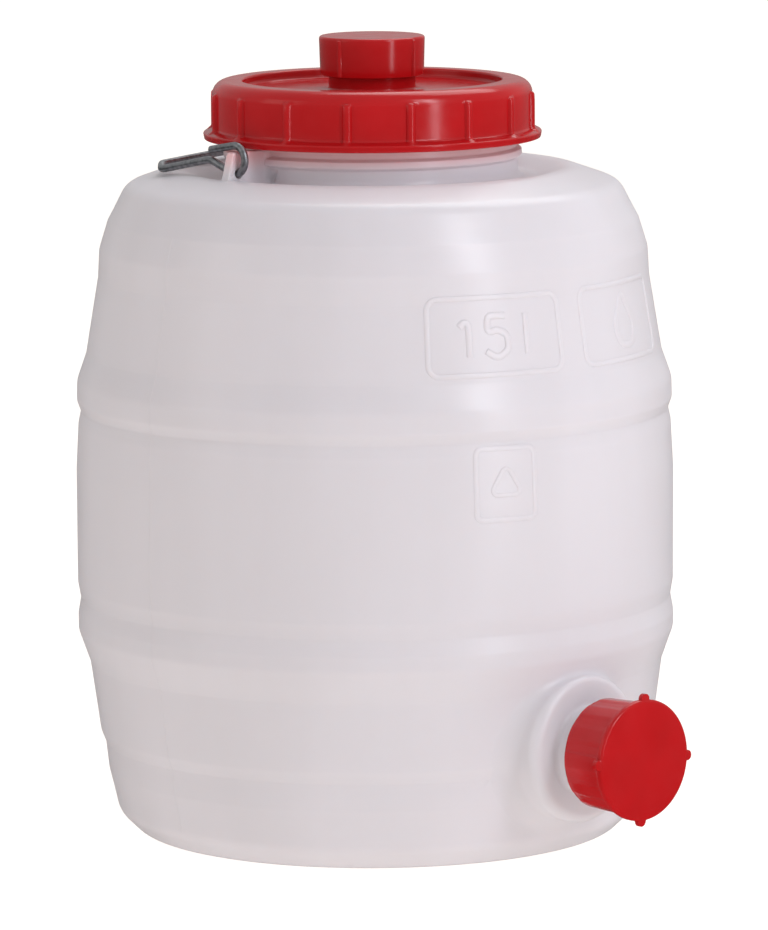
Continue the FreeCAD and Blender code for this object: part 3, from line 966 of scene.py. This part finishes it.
# the CAD nodes that are all parts of the one moulding
BARREL_NODES = [
    "barrel_foot",
    "barrel_lower_wall",
    "barrel_middle_wall",
    "barrel_upper_wall",
    "barrel_shoulder",
    "barrel_neck",
    "barrel_outlet",
    "bail_fin_left",
    "bail_fin_right",
]
pieces = {
    "barrel": (barrel(), "natural_hdpe"),
    "lid": (lid(), "red_plastic"),
    "lid_cap": (lid_cap(), "red_plastic"),
    "outlet_cap": (outlet_cap(), "red_plastic"),
    "bail": (bail(), "zinc_wire"),
    "lid_seal": (lid_seal(), "soft_seal"),
    "lid_cap_seal": (
        seal_disc("lid_cap_disc", LID_CAP_SEAL_RADIUS, low_lid_cap, high_lid_cap),
        "soft_seal",
    ),
    "outlet_cap_seal": (
        seal_disc("outlet_cap_disc", OUTLET_CAP_SEAL_RADIUS, SPOUT_END + GAP, high_outlet_cap, to_outlet),
        "soft_seal",
    ),
}
for body, (piece, slot) in pieces.items():
    piece.data.materials.clear()
    piece.data.materials.append(finishes[slot])
    piece.data.shade_smooth()
    piece.data.set_sharp_from_angle(angle=SHARP_ANGLE)
    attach(piece, body)
    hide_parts(*(BARREL_NODES if body == "barrel" else [body]))

# ---------------------------------------------------------------- floor, light and camera
VIEW_AZIMUTH = math.radians(227.5)
VIEW_DROP = math.radians(8.2)
VIEW_DISTANCE = 3.2
VIEW_ROLL = math.radians(-0.4)
AIM_RIGHT = 0.0042
AIM_HEIGHT = 0.168
LENS = 268
SENSOR = 36


def floor():
    """A large pale disc, slightly self-lit so that it stays as pale far away as it is near."""
    angles = even_angles(96)
    rings = [0.02, 0.4, 1.0, 2.5, 6.0, 14.0, 30.0]
    points = [(radius * math.cos(a), radius * math.sin(a), 0.0) for radius in rings for a in angles]
    count = len(angles)
    faces = [list(range(count))]
    for ring in range(len(rings) - 1):
        for k in range(count):
            near, far = ring * count, (ring + 1) * count
            faces.append([near + k, far + k, far + (k + 1) % count, near + (k + 1) % count])
    mesh = bpy.data.meshes.new("studio_floor")
    mesh.from_pydata(points, [], faces)
    piece = bpy.data.objects.new("studio_floor", mesh)
    bpy.context.scene.collection.objects.link(piece)
    finish = Finish("pale_floor")
    finish.set(Roughness=0.85, Emission_Strength=0.95, Emission_Color=(1.0, 0.95, 0.90, 1.0))
    mottle = finish.ramp(finish.noise(3, 2.0), [(0.3, (0.24, 0.24, 0.24)), (0.7, (0.26, 0.26, 0.26))])
    finish.use("Base Color", mottle)
    mesh.materials.append(finish.material)
    piece.visible_glossy = False


def softbox(name, azimuth, elevation, distance, size, power, colour=(1.0, 1.0, 1.0), upright=False):
    """A rectangular soft light that faces the object, or stands upright. Azimuth is to the camera's right."""
    turn = VIEW_AZIMUTH + math.radians(azimuth)
    rise = math.radians(elevation)
    back = Vector((math.cos(turn) * math.cos(rise), math.sin(turn) * math.cos(rise), math.sin(rise)))
    data = bpy.data.lights.new(name, "AREA")
    data.shape = "RECTANGLE"
    data.size, data.size_y = size
    data.energy = power
    data.color = colour
    light = bpy.data.objects.new(name, data)
    light.location = Vector((0, 0, AIM_HEIGHT)) + back * distance
    facing = Vector((back.x, back.y, 0.0)) if upright else back
    light.rotation_euler = facing.to_track_quat("Z", "Y").to_euler()
    light.visible_camera = False
    bpy.context.scene.collection.objects.link(light)


def camera():
    right = Vector((-math.sin(VIEW_AZIMUTH), math.cos(VIEW_AZIMUTH), 0.0))
    aim = right * AIM_RIGHT + Vector((0.0, 0.0, AIM_HEIGHT))
    level = math.cos(VIEW_DROP)
    back = Vector((math.cos(VIEW_AZIMUTH) * level, math.sin(VIEW_AZIMUTH) * level, math.sin(VIEW_DROP)))
    data = bpy.data.cameras.new("camera")
    data.lens = LENS
    data.sensor_width = SENSOR
    data.clip_end = 100.0
    eye = bpy.data.objects.new("camera", data)
    eye.location = aim + back * VIEW_DISTANCE
    eye.rotation_mode = "QUATERNION"
    eye.rotation_quaternion = back.to_track_quat("Z", "Y") @ Quaternion((0.0, 0.0, 1.0), VIEW_ROLL)
    bpy.context.scene.collection.objects.link(eye)
    bpy.context.scene.camera = eye


def sky():
    """Surrounding light: dark below the horizon, bright just above it and dimmer overhead."""
    world = bpy.data.worlds.new("studio")
    world.use_nodes = True
    tree = world.node_tree
    place = tree.nodes.new("ShaderNodeTexCoord")
    split = tree.nodes.new("ShaderNodeSeparateXYZ")
    spread = tree.nodes.new("ShaderNodeMapRange")
    ramp = tree.nodes.new("ShaderNodeValToRGB")
    spread.inputs["From Min"].default_value = -1.0
    levels = [(0.40, 0.08), (0.50, 0.30), (0.58, 0.46), (0.80, 0.50), (1.0, 0.56)]
    while len(ramp.color_ramp.elements) < len(levels):
        ramp.color_ramp.elements.new(0.5)
    for element, (position, level) in zip(ramp.color_ramp.elements, levels):
        element.position = position
        element.color = (level, level, level, 1.0)
    tree.links.new(place.outputs["Generated"], split.inputs["Vector"])
    tree.links.new(split.outputs["Z"], spread.inputs["Value"])
    tree.links.new(spread.outputs["Result"], ramp.inputs["Fac"])
    tree.links.new(ramp.outputs["Color"], tree.nodes["Background"].inputs["Color"])
    bpy.context.scene.world = world


def studio():
    floor()
    softbox("key", 44, 36, 2.2, (0.5, 1.0), 7.6, (0.93, 0.94, 1.0))
    softbox("strip", 44, 25, 1.0, (0.10, 1.1), 2.0, (0.92, 0.93, 1.0), True)
    softbox("fill", -70, 20, 2.4, (1.2, 1.2), 3.5, (1.0, 0.90, 0.82))
    softbox("top", 150, 60, 2.0, (1.6, 1.2), 16)
    sky()
    bpy.context.scene.view_settings.view_transform = "Standard"
    camera()


studio()
